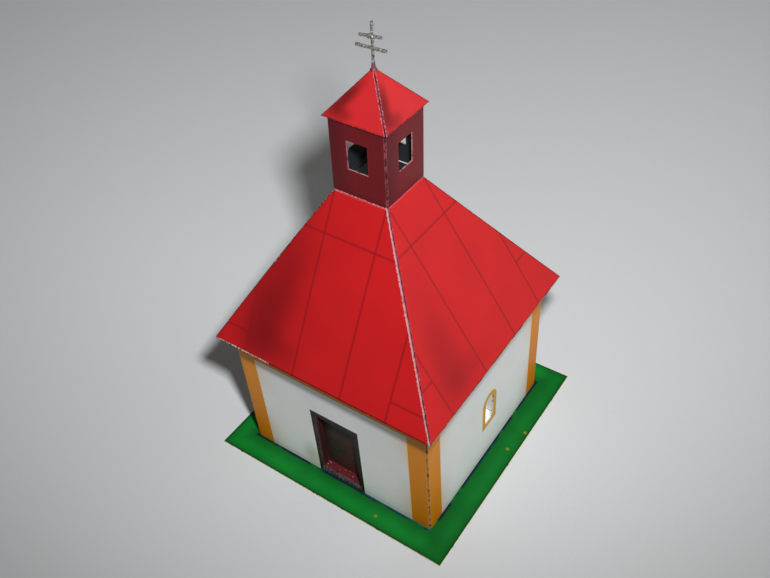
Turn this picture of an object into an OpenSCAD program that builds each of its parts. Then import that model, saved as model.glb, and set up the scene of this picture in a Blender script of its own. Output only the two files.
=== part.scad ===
// Card model of a small square chapel: a nave box with a steep red roof, a belfry with its own
// pointed roof and a double-barred cross, all standing on a square green base card.
// Units are mm. The chapel's axis is +Z, the door faces -Y and the arched window faces +X.
// The sheets are folded at three corners and glued on a strip at the front right corner.

/* [Card] */
// thickness of the folded sheets
card_t = 0.3; // [0.2:0.05:0.5]
// thickness of the base card
base_t = 0.4; // [0.3:0.1:1.5]
// side of the square base card
base_w = 65; // [62:1:90]

/* [Nave] */
// outside width of the four walls
nave_w = 52; // [46:1:56]
// height of the eaves' outer edge over the base card
eave_h = 37.4; // [34:0.2:48]
// how far the roof reaches past the walls
eave_overhang = 2.9; // [1:0.1:4]
// slope of the roof from level
roof_pitch = 57.6; // [50:0.1:62]

/* [Door] */
// width of the cut doorway
door_w = 11; // [8:0.2:14]
// height of the cut doorway
door_h = 19.6; // [14:0.2:22]
// height of the doorway's lower edge over the base card
door_sill_h = 2; // [1:0.1:3]
// distance of the doorway's middle from the wall's middle
door_shift = 0.8; // [-2:0.1:2]
// depth from the wall's face to the door leaf
door_recess = 2.2; // [1.5:0.1:4]

/* [Side windows] */
// width of the arched opening
window_w = 3.7; // [3:0.1:6]
// height of the arched opening, the round top included
window_h = 8.6; // [6:0.1:12]
// height of the opening's lower edge over the base card
window_sill_h = 11.4; // [8:0.1:14]
// distance of the opening from the wall's middle, towards the back
window_shift = 0.95; // [-2:0.05:2]

/* [Belfry] */
// outside width of the belfry
belfry_w = 13.4; // [11:0.2:16]
// height of the belfry roof's eaves over the nave roof's upper fold
belfry_h = 16.9; // [13:0.1:22]
// how far the belfry roof reaches past the belfry
belfry_overhang = 0.75; // [0.4:0.05:1.5]
// slope of the belfry roof from level
belfry_pitch = 49.2; // [42:0.1:58]
// width of the four belfry windows
bell_window_w = 4.9; // [4.4:0.1:6]
// height of the four belfry windows
bell_window_h = 6.6; // [4.6:0.1:8]
// height of the belfry windows' lower edge over the nave roof's upper fold
bell_window_z = 6; // [3:0.1:7]

/* [Cross] */
// thickness of the round upright
post_d = 0.55; // [0.4:0.05:0.8]
// height of the upright over the tip of the belfry roof
post_h = 9.4; // [6:0.2:12]
// thickness of the two round bars
bar_d = 0.5; // [0.4:0.05:0.8]
// length of the lower bar
lower_bar_l = 6.8; // [5:0.2:9]
// length of the upper bar
upper_bar_l = 5; // [3:0.2:7]
// height of the lower bar's middle over the tip of the belfry roof
lower_bar_h = 4.3; // [3:0.1:5]
// height of the upper bar's middle over the tip of the belfry roof
upper_bar_h = 6.5; // [5.2:0.1:8]
// width of the flared foot on the tip of the belfry roof
foot_d = 1.5; // [1.2:0.05:2]
// height of the flared foot
foot_h = 1.5; // [1:0.1:2]

/* [Glue strips] */
// width of the strips folded in along the foot of the walls
foot_tab_w = 8; // [5:0.5:12]
// length of those strips at the fold
foot_tab_l = 22.8; // [16:0.2:34]
// width of each half of the strip behind a glued corner
seam_tab_w = 4.5; // [3:0.5:6]
// width of each half of the strip behind the belfry's glued corners
belfry_tab_w = 1.6; // [1:0.1:2]
// height of the strips folded up from the nave roof inside the belfry
roof_tab_h = 1.6; // [1:0.1:2.5]

/* [Part to build] */

/* [Hidden] */

front = 0;
right = 90;
back = 180;
left = 270;
far = 200;
past = 1;
tab_clear = 0.5;
fit_gap = 0.1;
foot_rim = 0.05;
round_facets = 48;
arch_facets = 96;

nave_half = nave_w / 2;
eave_half = nave_half + eave_overhang;
belfry_half = belfry_w / 2;
belfry_eave_half = belfry_half + belfry_overhang;

// The roof sheets end at a fold, from which strips stand up against the inside of the belfry.
roof_top_half = belfry_half - card_t;
eave_z = base_t + eave_h;
roof_top_z = eave_z + (eave_half - roof_top_half) * tan(roof_pitch);
wall_top_z = eave_z + eave_overhang * tan(roof_pitch) - card_t / cos(roof_pitch);

belfry_eave_z = roof_top_z + belfry_h;
belfry_top_z = belfry_eave_z + belfry_overhang * tan(belfry_pitch) - card_t / cos(belfry_pitch);
tip_half = post_d / 2 + card_t * sin(belfry_pitch);
tip_z = belfry_eave_z + (belfry_eave_half - tip_half) * tan(belfry_pitch);

door_z = base_t + door_sill_h;
leaf_y = door_recess - nave_half;
jamb_l = door_recess - card_t;

// All that lies past the corner's diagonal plane, on one side of a front panel.
module past_corner(side) {
    mirror([side < 0 ? 1 : 0, 0, 0])
        translate([0, 0, -far])
            linear_extrude(2 * far)
                polygon([[0, 0], [far, -far], [far, 0]]);
}

// One sheet of a square box or pyramid, drawn at the front and turned to its side. Its outer face
// rises from (low_half, low_z) at the given slope. The children are the outlines cut out of it.
// A folded edge is mitred; an edge at the glued corner is cut square to the sheet.
module sheet(low_half, high_half, low_z, height, slope, turn) {
    set_back = card_t * sin(slope);
    length = slope == 90 ? height : (low_half - high_half) / cos(slope);
    left_in = turn == right ? set_back : 0;
    right_in = turn == front ? set_back : 0;
    rotate([0, 0, turn])
        difference() {
            translate([0, -low_half, low_z])
                rotate([slope, 0, 0])
                    translate([0, 0, -card_t])
                        linear_extrude(card_t)
                            difference() {
                                polygon([
                                    [left_in - low_half, 0],
                                    [low_half - right_in, 0],
                                    [high_half - right_in, length],
                                    [left_in - high_half, length]
                                ]);
                                children();
                            }
            if (turn != right) past_corner(-1);
            if (turn != front) past_corner(1);
        }
}

// A strip glued behind the square-cut corner of a sheet pair: one half on each sheet's inner face.
module corner_strip(low_half, high_half, low_z, slope, width) {
    set_back = card_t * sin(slope);
    length = (low_half - high_half) / cos(slope);
    inner_low = low_half - set_back;
    inner_high = high_half - set_back;
    for (turn = [front, right])
        rotate([0, 0, turn])
            mirror([turn == right ? 1 : 0, 0, 0])
                difference() {
                    translate([0, -low_half, low_z])
                        rotate([slope, 0, 0])
                            translate([0, 0, -2 * card_t])
                                linear_extrude(card_t)
                                    polygon([
                                        [inner_low - width, 0],
                                        [inner_low, 0],
                                        [inner_high, length],
                                        [inner_high - width, length]
                                    ]);
                    past_corner(1);
                }
}

module arch(w, h) {
    union() {
        translate([-w / 2, 0])
            square([w, h - w / 2]);
        translate([0, h - w / 2])
            circle(d = w, $fn = arch_facets);
    }
}

module nave_wall(turn) {
    sheet(nave_half, nave_half, base_t, wall_top_z - base_t, 90, turn)
        children();
}

module base_card() {
    color("#1c7832")
        translate([-base_w / 2, -base_w / 2, 0])
            cube([base_w, base_w, base_t]);
}

module front_wall() {
    color("#b9c3c3")
        nave_wall(front)
            translate([door_shift - door_w / 2, door_sill_h])
                square([door_w, door_h]);
}

module right_wall() {
    color("#b9c3c3")
        nave_wall(right)
            translate([window_shift, window_sill_h])
                arch(window_w, window_h);
}

module back_wall() {
    color("#b9c3c3")
        nave_wall(back);
}

// The left wall's window lies opposite the right wall's.
module left_wall() {
    color("#b9c3c3")
        nave_wall(left)
            translate([-window_shift, window_sill_h])
                arch(window_w, window_h);
}

module wall_seam_tab() {
    strip_h = wall_top_z - base_t - 2 * tab_clear;
    inner = nave_half - card_t;
    color("#dcdcd6")
        translate([inner, -inner, base_t + card_t + tab_clear])
            linear_extrude(strip_h - card_t)
                polygon([
                    [0, 0],
                    [0, seam_tab_w],
                    [-card_t, seam_tab_w],
                    [-card_t, card_t],
                    [-seam_tab_w, card_t],
                    [-seam_tab_w, 0]
                ]);
}

module foot_tab(turn) {
    color("#e6e6e2")
        rotate([0, 0, turn])
            translate([-foot_tab_l / 2, card_t - nave_half, base_t])
                cube([foot_tab_l, foot_tab_w, card_t]);
}

module front_foot_tab() {
    foot_tab(front);
}

module right_foot_tab() {
    foot_tab(right);
}

module back_foot_tab() {
    foot_tab(back);
}

module left_foot_tab() {
    foot_tab(left);
}

// The doorway is a shallow box behind the front wall, closed by the leaf.
module door_leaf() {
    color("#2d211f")
        translate([door_shift - door_w / 2 - card_t, leaf_y, door_z - card_t])
            cube([door_w + 2 * card_t, card_t, door_h + 2 * card_t]);
}

module door_left_jamb() {
    color("#3a2523")
        translate([door_shift - door_w / 2 - card_t, card_t - nave_half, door_z - card_t])
            cube([card_t, jamb_l, door_h + 2 * card_t]);
}

module door_right_jamb() {
    color("#241c1b")
        translate([door_shift + door_w / 2, card_t - nave_half, door_z - card_t])
            cube([card_t, jamb_l, door_h + 2 * card_t]);
}

module door_lintel() {
    color("#241c1b")
        translate([door_shift - door_w / 2, card_t - nave_half, door_z + door_h])
            cube([door_w, jamb_l, card_t]);
}

module door_sill() {
    color("#642326")
        translate([door_shift - door_w / 2, card_t - nave_half, door_z - card_t])
            cube([door_w, jamb_l, card_t]);
}

// The sheet's upper end is level, because the folded strip stands on it.
module nave_roof(turn) {
    color("#c42025")
        difference() {
            sheet(eave_half, roof_top_half - card_t, eave_z, 0, roof_pitch, turn);
            translate([0, 0, roof_top_z])
                linear_extrude(far)
                    square(far, center = true);
        }
}

module roof_front() {
    nave_roof(front);
}

module roof_right() {
    nave_roof(right);
}

module roof_back() {
    nave_roof(back);
}

module roof_left() {
    nave_roof(left);
}

// This strip starts above the walls and stops short of the belfry.
module roof_seam_tab() {
    low_half = nave_half - tab_clear;
    high_half = belfry_half + past;
    low_z = eave_z + (eave_half - low_half) * tan(roof_pitch);
    color("#dcdcd6")
        corner_strip(low_half, high_half, low_z, roof_pitch, seam_tab_w);
}

module roof_tab(turn) {
    length = 2 * (roof_top_half - belfry_tab_w - fit_gap);
    color("#dcdcd6")
        rotate([0, 0, turn])
            translate([-length / 2, -roof_top_half, roof_top_z])
                cube([length, card_t, roof_tab_h]);
}

module roof_tab_front() {
    roof_tab(front);
}

module roof_tab_right() {
    roof_tab(right);
}

module roof_tab_back() {
    roof_tab(back);
}

module roof_tab_left() {
    roof_tab(left);
}

module belfry_wall(turn) {
    color("#6e1c22")
        sheet(belfry_half, belfry_half, roof_top_z, belfry_top_z - roof_top_z, 90, turn)
            translate([-bell_window_w / 2, bell_window_z])
                square([bell_window_w, bell_window_h]);
}

module belfry_front() {
    belfry_wall(front);
}

module belfry_right() {
    belfry_wall(right);
}

module belfry_back() {
    belfry_wall(back);
}

module belfry_left() {
    belfry_wall(left);
}

module belfry_seam_tab() {
    inner = belfry_half - card_t;
    color("#3a1518")
        translate([inner, -inner, roof_top_z + fit_gap])
            linear_extrude(belfry_top_z - roof_top_z - tab_clear - fit_gap)
                polygon([
                    [0, 0],
                    [0, belfry_tab_w],
                    [-card_t, belfry_tab_w],
                    [-card_t, card_t],
                    [-belfry_tab_w, card_t],
                    [-belfry_tab_w, 0]
                ]);
}

module small_roof(turn) {
    color("#c42025")
        sheet(belfry_eave_half, tip_half, belfry_eave_z, 0, belfry_pitch, turn);
}

module belfry_roof_front() {
    small_roof(front);
}

module belfry_roof_right() {
    small_roof(right);
}

module belfry_roof_back() {
    small_roof(back);
}

module belfry_roof_left() {
    small_roof(left);
}

// This strip starts above the belfry walls and stops short of the tip.
module belfry_roof_seam_tab() {
    low_half = belfry_half - tab_clear;
    high_half = belfry_tab_w + 2 * card_t;
    low_z = belfry_eave_z + (belfry_eave_half - low_half) * tan(belfry_pitch);
    color("#dcdcd6")
        corner_strip(low_half, high_half, low_z, belfry_pitch, belfry_tab_w);
}

// The foot hugs the upright and covers the cut tips of the belfry roof's sheets. Its flare thins to
// a waist that is a third of the way from the upright to the foot's width, a third of the way up.
module cross_foot() {
    waist = 1 / 3;
    waist_r = (post_d + (foot_d - post_d) * waist) / 2;
    color("#a8adb2")
        translate([0, 0, tip_z])
            rotate_extrude($fn = round_facets)
                polygon([
                    [post_d / 2, 0],
                    [foot_d / 2, 0],
                    [waist_r, foot_h * waist],
                    [post_d / 2 + foot_rim, foot_h],
                    [post_d / 2, foot_h]
                ]);
}

module cross_post() {
    color("#a8adb2")
        translate([0, 0, tip_z - past])
            cylinder(h = post_h + past, d = post_d, $fn = round_facets);
}

// The bars lie on the front of the upright.
module cross_bar(length, height) {
    color("#a8adb2")
        translate([-length / 2, -(post_d + bar_d) / 2, tip_z + height])
            rotate([0, 90, 0])
                cylinder(h = length, d = bar_d, $fn = round_facets);
}

module cross_lower_bar() {
    cross_bar(lower_bar_l, lower_bar_h);
}

module cross_upper_bar() {
    cross_bar(upper_bar_l, upper_bar_h);
}

base_card();
front_wall();
right_wall();
back_wall();
left_wall();
wall_seam_tab();
front_foot_tab();
right_foot_tab();
back_foot_tab();
left_foot_tab();
door_leaf();
door_left_jamb();
door_right_jamb();
door_lintel();
door_sill();
roof_front();
roof_right();
roof_back();
roof_left();
roof_seam_tab();
roof_tab_front();
roof_tab_right();
roof_tab_back();
roof_tab_left();
belfry_front();
belfry_right();
belfry_back();
belfry_left();
belfry_seam_tab();
belfry_roof_front();
belfry_roof_right();
belfry_roof_back();
belfry_roof_left();
belfry_roof_seam_tab();
cross_foot();
cross_post();
cross_lower_bar();
cross_upper_bar();
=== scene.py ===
import math

import bmesh
import bpy
from mathutils import Matrix, Quaternion, Vector, noise
from mathutils.geometry import delaunay_2d_cdt


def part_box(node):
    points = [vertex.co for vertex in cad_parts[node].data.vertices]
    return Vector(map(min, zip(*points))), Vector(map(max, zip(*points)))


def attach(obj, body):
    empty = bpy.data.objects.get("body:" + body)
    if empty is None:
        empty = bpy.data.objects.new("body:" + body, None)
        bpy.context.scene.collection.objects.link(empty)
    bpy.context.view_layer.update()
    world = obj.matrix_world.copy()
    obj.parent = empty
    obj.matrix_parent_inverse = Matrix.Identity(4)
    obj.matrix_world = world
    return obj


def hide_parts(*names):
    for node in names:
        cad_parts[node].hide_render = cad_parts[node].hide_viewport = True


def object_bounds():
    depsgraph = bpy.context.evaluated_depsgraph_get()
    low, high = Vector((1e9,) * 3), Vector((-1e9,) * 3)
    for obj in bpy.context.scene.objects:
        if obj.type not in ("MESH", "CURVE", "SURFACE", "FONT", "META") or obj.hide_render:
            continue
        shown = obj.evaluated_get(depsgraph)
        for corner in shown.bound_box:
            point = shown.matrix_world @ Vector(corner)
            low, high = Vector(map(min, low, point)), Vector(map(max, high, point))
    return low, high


# A card model of a small chapel: printed sheets, folded at three corners and glued at the fourth.
# Blender works in metres. Prints, edges and gaps are written in millimetres and scaled by mm.

mm = 0.001
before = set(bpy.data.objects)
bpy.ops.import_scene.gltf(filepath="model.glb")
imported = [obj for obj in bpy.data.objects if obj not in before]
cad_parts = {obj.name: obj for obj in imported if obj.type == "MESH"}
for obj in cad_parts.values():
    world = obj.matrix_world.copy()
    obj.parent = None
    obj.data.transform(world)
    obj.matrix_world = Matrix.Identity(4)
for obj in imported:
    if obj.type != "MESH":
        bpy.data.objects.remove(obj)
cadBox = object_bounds()
scene = bpy.context.scene
front, right, back, left = range(4)  # quarter turns of a sheet drawn at the front
sideNames = ("front", "right", "back", "left")


def linearColour(hexCode, alpha=1.0):
    # sRGB hex to the linear values that shaders take
    channels = [int(hexCode[i:i + 2], 16) / 255 for i in (0, 2, 4)]
    linear = [c / 12.92 if c <= 0.04045 else ((c + 0.055) / 1.055) ** 2.4 for c in channels]
    return (*linear, alpha)


def addNode(tree, kind, inputs=None, out=0, **settings):
    # adds one node, sets it up, fills or links its inputs, and hands back one of its outputs
    node = tree.nodes.new(kind)
    for key, value in settings.items():
        setattr(node, key, value)
    for key, value in (inputs or {}).items():
        if isinstance(value, bpy.types.NodeSocket):
            tree.links.new(value, node.inputs[key])
        else:
            node.inputs[key].default_value = value
    return node.outputs[out] if len(node.outputs) else node


mathKind = "ShaderNodeMath"
rangeKind = "ShaderNodeMapRange"
mixKind = "ShaderNodeMix"
noiseKind = "ShaderNodeTexNoise"
vectorKind = "ShaderNodeVectorMath"
ofColours = {"out": 2, "data_type": "RGBA"}  # a mix of colours: share at 0, colours at 6 and 7
smoothly = {"interpolation_type": "SMOOTHSTEP"}
noiseSpan = (0.3, 0.7)  # where most of a noise's values lie


def newMaterial(name):
    # starts a material, with the place on the piece that its patterns follow
    material = bpy.data.materials.new(name)
    material.use_nodes = True
    tree = material.node_tree
    tree.nodes.clear()
    return material, tree, addNode(tree, "ShaderNodeTexCoord", out="Object")


def mottled(tree, colour, pattern, span, levels):
    # darkens and lightens a colour as the pattern goes from one end of its span to the other
    level = addNode(tree, rangeKind, {"Value": pattern, "From Min": span[0], "From Max": span[1],
                                      "To Min": levels[0], "To Max": levels[1]})
    return addNode(tree, vectorKind, {0: colour, "Scale": level}, operation="SCALE")


def inkOver(tree, colour, ink, value, span, shares=(0.0, 1.0), **settings):
    # lays an ink over a colour; its share changes as the value goes from one end of its span to the other
    share = addNode(tree, rangeKind, {"Value": value, "From Min": span[0], "From Max": span[1],
                                      "To Min": shares[0], "To Max": shares[1]}, **settings)
    return addNode(tree, mixKind, {0: share, 6: colour, 7: linearColour(ink)}, **ofColours)


def distanceFrom(tree, value, middle):
    # how far a value is from the middle, on either side
    away = addNode(tree, mathKind, {0: value, 1: middle}, operation="SUBTRACT")
    return addNode(tree, mathKind, {0: away}, operation="ABSOLUTE")


def closeMaterial(tree, colour, roughness, height, depth, specular=0.5, metallic=0.0, glow=0.0,
                  glowColour=None):
    # ends a material: its colour, its gloss and the relief that height gives it
    normal = addNode(tree, "ShaderNodeBump", {"Height": height, "Distance": depth, "Strength": 1.0})
    shader = addNode(tree, "ShaderNodeBsdfPrincipled", {
        "Base Color": colour, "Roughness": roughness, "Normal": normal,
        "Specular IOR Level": specular, "Metallic": metallic,
    })
    # a painted glow: the surface gives off light of its own, though it is no lamp
    if glow:
        tree.links.new(glowColour or colour, shader.node.inputs["Emission Color"])
        shader.node.inputs["Emission Strength"].default_value = glow
    addNode(tree, "ShaderNodeOutputMaterial", {"Surface": shader})


def boxOf(node):
    low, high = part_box(node)
    return Vector(low) / mm, Vector(high) / mm


def openingOf(node, turn):
    # width and height of the hole cut in an upright sheet, as (x0, x1, z0, z1) on the sheet
    margin = 0.5  # points nearer than this to the sheet's outline belong to the outline
    low, high = boxOf(node)
    reach = max(abs(low.x), abs(high.x), abs(low.y), abs(high.y)) - margin
    unturn = Matrix.Rotation(-turn * math.pi / 2, 3, "Z")
    points = [unturn @ (vertex.co / mm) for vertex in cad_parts[node].data.vertices]
    inside = [p for p in points if abs(p.x) < reach and low.z + margin < p.z < high.z - margin]
    xs = [p.x for p in inside]
    zs = [p.z for p in inside]
    return min(xs), max(xs), min(zs), max(zs)


fitRounds = 6  # the slope and its eave's height settle within a few rounds


def pitchOf(node, topHalf, thick):
    # slope of a roof sheet, from its box: the outer eave is a little above the box's low side
    low, high = boxOf(node)
    pitch = math.radians(55)
    for _ in range(fitRounds):
        eaveZ = low.z + thick * math.cos(pitch)
        pitch = math.atan2(high.z - eaveZ, high.x - topHalf)
    return pitch, eaveZ


baseHigh = boxOf("base_card")[1]
floorZ = baseHigh.z
wallLow, wallHigh = boxOf("back_wall")
naveHalf = wallHigh.y
thick = wallHigh.y - wallLow.y
belfryLow, belfryHigh = boxOf("belfry_back")
belfryHalf = belfryHigh.y
roofPitch, eaveZ = pitchOf("roof_back", belfryHalf - thick, thick)
eaveHalf = boxOf("roof_back")[1].x
postRadius = boxOf("cross_post")[1].x
smallPitch = math.radians(50)
for _ in range(fitRounds):
    tipHalf = postRadius + thick * math.sin(smallPitch)
    smallPitch, smallEaveZ = pitchOf("belfry_roof_back", tipHalf, thick)
smallEaveHalf = boxOf("belfry_roof_back")[1].x
print("frame read: nave", round(2 * naveHalf, 2), "mm, roof pitch", round(math.degrees(roofPitch), 2),
      "belfry roof pitch", round(math.degrees(smallPitch), 2))


# how the hand-built model settled
settleSet = {
    "toward": Vector((0.79, 0.61, 0)),  # the way that the belfry leans
    "footShift": -0.45,                 # how far off centre the belfry's foot is glued
    "lean": 0.028,                      # sideways drift of the belfry for each mm of height
    "droop": 0.35,                      # how far the roof hangs at its glued corner
    "roofTop": belfryLow.z,
    "eave": eaveZ,
    "still": eaveZ - 1.5,               # nothing below this height has moved
}


def settled(point):
    # where a point of the true shape (mm) sits on the hand-built model
    st = settleSet
    if point.z < st["still"]:
        return point
    share = min(1.0, max(0.0, (point.z - st["eave"]) / (st["roofTop"] - st["eave"])))
    shift = st["footShift"] * share + st["lean"] * max(0.0, point.z - st["roofTop"])
    corner = max(0.0, (point.x - point.y) / (2 * eaveHalf)) ** 2 * (1 - share)
    sink = st["droop"] * corner + share * st["lean"] * point.dot(st["toward"])
    return point + st["toward"] * shift - Vector((0, 0, sink))


def addObject(name, data):
    thing = bpy.data.objects.new(name, data)
    scene.collection.objects.link(thing)
    return thing


def paint(node, material):
    # a frame node keeps its shape and takes this material
    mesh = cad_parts[node].data
    mesh.materials.clear()
    mesh.materials.append(material)


def addPiece(name, mesh, nodes):
    # a finished piece: it rides on the one body and stands for its frame nodes
    piece = addObject(name, mesh)
    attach(piece, "root")
    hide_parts(*nodes)


def settledCopy(name, node, material, topMaterial=None):
    # a copy of a frame node, moved with the parts that it is glued to; its top may differ
    facesUp = 0.7  # a face whose normal rises more than this counts as the top
    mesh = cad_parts[node].data.copy()
    mesh.name = name
    work = bmesh.new()
    work.from_mesh(mesh)
    bmesh.ops.remove_doubles(work, verts=work.verts, dist=1e-6)
    for vertex in work.verts:
        vertex.co = settled(vertex.co / mm) * mm
    work.to_mesh(mesh)
    work.free()
    mesh.materials.clear()
    for finish in (material, topMaterial or material):
        mesh.materials.append(finish)
    for polygon in mesh.polygons:
        polygon.material_index = 1 if polygon.normal.z > facesUp else 0
    addPiece(name, mesh, [node])


inkDot = 0.35  # faint mottling of the print in mm, coarser than real ink dots so that it shows
hollowSize = 14.0  # width in mm of the slight hollows of a card that lies almost flat
satin = (0.41, 0.53)  # roughness of the printed face, from its smoothest to its dullest


def lumps(place, size, detail=2.0, rough=0.5):
    # settings of a noise whose lumps are about size mm across at the given place
    return {"Vector": place, "Scale": 1 / (size * mm), "Detail": detail, "Roughness": rough}


def printBox(x0, x1, s0, s1, ink, amount=1.0, **more):
    # a printed layer with straight sides
    return {"kind": "box", "at": (x0, x1, s0, s1), "ink": ink, "amount": amount, **more}


def printBlob(centre, reach, tilt, ink, amount):
    # a printed cloud that fades from its centre
    return {"kind": "blob", "centre": centre, "reach": reach, "tilt": tilt, "ink": ink, "amount": amount}


def printArch(opening, band, ink, amount=1.0):
    # a printed band round an arched opening
    return {"kind": "arch", "opening": opening, "band": band, "ink": ink, "amount": amount}


def maskOf(tree, uv, x, s, layer):
    # how much of a printed layer shows at a point of the sheet, 0 to 1
    soft = layer.get("soft", 0.12)
    if layer["kind"] == "box":
        across = addNode(tree, mathKind, {0: x}, operation="ABSOLUTE") if layer.get("both") else x
        x0, x1, s0, s1 = layer["at"]
        sides = []
        for value, low, high in ((across, x0, x1), (s, s0, s1)):
            away = distanceFrom(tree, value, (low + high) / 2)
            half = (high - low) / 2
            sides.append(addNode(tree, rangeKind, {"Value": away, "From Min": half - soft / 2,
                                                   "From Max": half + soft / 2, "To Min": 1.0,
                                                   "To Max": 0.0}, **smoothly))
        return addNode(tree, mathKind, {0: sides[0], 1: sides[1]}, operation="MULTIPLY")
    if layer["kind"] == "blob":
        cx, cs = layer["centre"]
        rx, rs = layer["reach"]
        moved = addNode(tree, "ShaderNodeMapping", {
            "Vector": uv, "Location": (cx, cs, 0), "Rotation": (0, 0, math.radians(layer["tilt"])),
            "Scale": (rx, rs, 1)}, vector_type="TEXTURE")
        far = addNode(tree, vectorKind, {0: moved}, out="Value", operation="LENGTH")
        return addNode(tree, rangeKind, {"Value": far, "From Min": 0.0, "From Max": 1.0,
                                         "To Min": 1.0, "To Max": 0.0},
                       interpolation_type="SMOOTHERSTEP")
    # a band round an arched opening: straight sides and sill, round head
    x0, x1, s0, s1 = layer["opening"]
    radius = (x1 - x0) / 2
    spring = s1 - radius
    dx = distanceFrom(tree, x, (x0 + x1) / 2)
    rise = addNode(tree, mathKind, {0: s, 1: spring}, operation="SUBTRACT")
    rise = addNode(tree, mathKind, {0: rise, 1: 0.0}, operation="MAXIMUM")
    spot = addNode(tree, "ShaderNodeCombineXYZ", {"X": dx, "Y": rise})
    far = addNode(tree, vectorKind, {0: spot}, out="Value", operation="LENGTH")
    far = addNode(tree, mathKind, {0: far, 1: radius}, operation="SUBTRACT")
    under = addNode(tree, mathKind, {0: s0, 1: s}, operation="SUBTRACT")
    far = addNode(tree, mathKind, {0: far, 1: under}, operation="MAXIMUM")
    return addNode(tree, rangeKind, {"Value": far, "From Min": layer["band"] - soft / 2,
                                     "From Max": layer["band"] + soft / 2, "To Min": 1.0,
                                     "To Max": 0.0}, **smoothly)


def printedCard(name, look, layers, wear):
    # Satin printed card of 250 g/m2: flat inks with a faint mottle over smooth white card, whose
    # print cracks to bare fibres along the folds and the cut edges. Each row of wear holds the edge,
    # its reach in mm, the colour and how readily it shows.
    material, tree, place = newMaterial(name)
    uv = addNode(tree, "ShaderNodeUVMap", uv_map="print")
    split = addNode(tree, "ShaderNodeSeparateXYZ", {0: uv}).node
    x, s = split.outputs[0], split.outputs[1]
    colour = linearColour(look["ground"])
    for layer in layers:
        mask = maskOf(tree, uv, x, s, layer)
        if layer.get("patchy"):
            patch = addNode(tree, noiseKind, lumps(place, layer["patchy"], 3.0))
            patch = addNode(tree, rangeKind, {"Value": patch, "From Min": 0.38, "From Max": 0.6})
            mask = addNode(tree, mathKind, {0: mask, 1: patch}, operation="MULTIPLY")
        mask = addNode(tree, mathKind, {0: mask, 1: layer["amount"]}, operation="MULTIPLY")
        colour = addNode(tree, mixKind, {0: mask, 6: colour, 7: linearColour(layer["ink"])}, **ofColours)
    # mottle of the ink: fine dots and broad clouds
    fine = addNode(tree, noiseKind, lumps(place, inkDot, 2.0))
    broad = addNode(tree, noiseKind, lumps(place, 9.0, 2.0))
    cloud = addNode(tree, mathKind, {0: broad, 1: 0.6}, operation="MULTIPLY")
    cloud = addNode(tree, mathKind, {0: fine, 1: 0.4, 2: cloud}, operation="MULTIPLY_ADD")
    colour = mottled(tree, colour, cloud, noiseSpan, (1.0 - look["mottle"], 1.0 + look["mottle"]))
    # bare fibres where the print has cracked or frayed
    crackNoise = addNode(tree, noiseKind, lumps(place, 0.45, 4.0, 0.65))
    for attribute, reach, ink, cover in wear:
        away = addNode(tree, "ShaderNodeAttribute", out="Fac", attribute_name=attribute)
        near = addNode(tree, rangeKind, {"Value": away, "From Min": 0.0, "From Max": reach,
                                         "To Min": cover, "To Max": -0.15})
        torn = addNode(tree, mathKind, {0: crackNoise, 1: near}, operation="ADD")
        colour = inkOver(tree, colour, ink, torn, (0.62, 0.74))
    hollows = addNode(tree, noiseKind, lumps(place, hollowSize, 1.0))
    tooth = addNode(tree, noiseKind, lumps(place, 0.5, 3.0))
    height = addNode(tree, mathKind, {0: tooth, 1: 0.02, 2: hollows}, operation="MULTIPLY_ADD")
    roughness = addNode(tree, rangeKind, {"Value": fine, "To Min": satin[0], "To Max": satin[1]})
    closeMaterial(tree, colour, roughness, height, 0.18 * mm, specular=look["specular"])
    return material


bareCard = "dcdedc"
insideDark = "23272b"
darkFade = 1.5  # mm over which the inside of the roof turns near black


def plainCard(name, hexCode, shade=0.04, glow=0.0, darkFrom=None):
    # The unprinted back of the card: matt, off-white, with fine felt-like fibres. Inside the walls it
    # has a painted glow, which stands in for the light that passes through the thin card. Above the
    # height darkFrom it turns near black, like the inside of the belfry.
    material, tree, place = newMaterial(name)
    fibres = addNode(tree, noiseKind, lumps(place, 0.4, 4.0, 0.6))
    colour = mottled(tree, linearColour(hexCode)[:3], fibres, noiseSpan, (1.0 - shade, 1.0 + shade))
    if darkFrom is not None:
        height = addNode(tree, "ShaderNodeSeparateXYZ", {0: place}).node.outputs[2]
        colour = inkOver(tree, colour, insideDark, height, (darkFrom * mm, (darkFrom + darkFade) * mm))
    closeMaterial(tree, colour, 0.78, fibres, 0.01 * mm, specular=0.3, glow=glow)
    return material


def cutEdge(name, coreHex, inkHex, inkShare):
    # The cut edge of the card: pale torn fibres, here and there darkened by ink.
    material, tree, place = newMaterial(name)
    fibres = addNode(tree, noiseKind, lumps(place, 0.18, 3.0, 0.7))
    patches = addNode(tree, noiseKind, lumps(place, 1.6, 3.0, 0.7))
    start = 0.62 - inkShare * 0.3
    end = 0.68 - inkShare * 0.3
    colour = inkOver(tree, linearColour(coreHex), inkHex, patches, (start, end))
    colour = mottled(tree, colour, fibres, noiseSpan, (0.75, 1.1))
    closeMaterial(tree, colour, 0.85, fibres, 0.03 * mm, specular=0.25)
    return material


# how every sheet is cut and folded
sheetSet = {
    "foldRadius": 0.4,   # outer radius of a scored fold
    "seamGap": 0.03,     # gap that hand cutting leaves at the glued corner, on each side
    "ragged": 0.045,     # how far a hand-cut edge wanders
    "holeRagged": 0.7,   # a hole is cut this much more evenly
    "fineStep": 0.35,    # spacing of points along edges
    "foldClear": 0.3,    # inner points keep this far from a fold's curve
    "holeClear": 0.25,   # and this far from a hole
    "seamReach": 0.2,    # rim faces this near to the glued cut belong to it
    "sharpAngle": 32,    # degrees past which an edge stays sharp
}
farOff = 9.0  # stands for a distance to an edge that the sheet doesn't have


def wander(u, v, seed):
    # a smooth value from -1 to 1 that wobbles along a cut
    return noise.noise(Vector((u * 1.7, v * 1.7, seed * 13.7))) * 0.6 + noise.noise(
        Vector((u * 4.9, v * 4.9, seed * 7.1))) * 0.4


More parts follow.
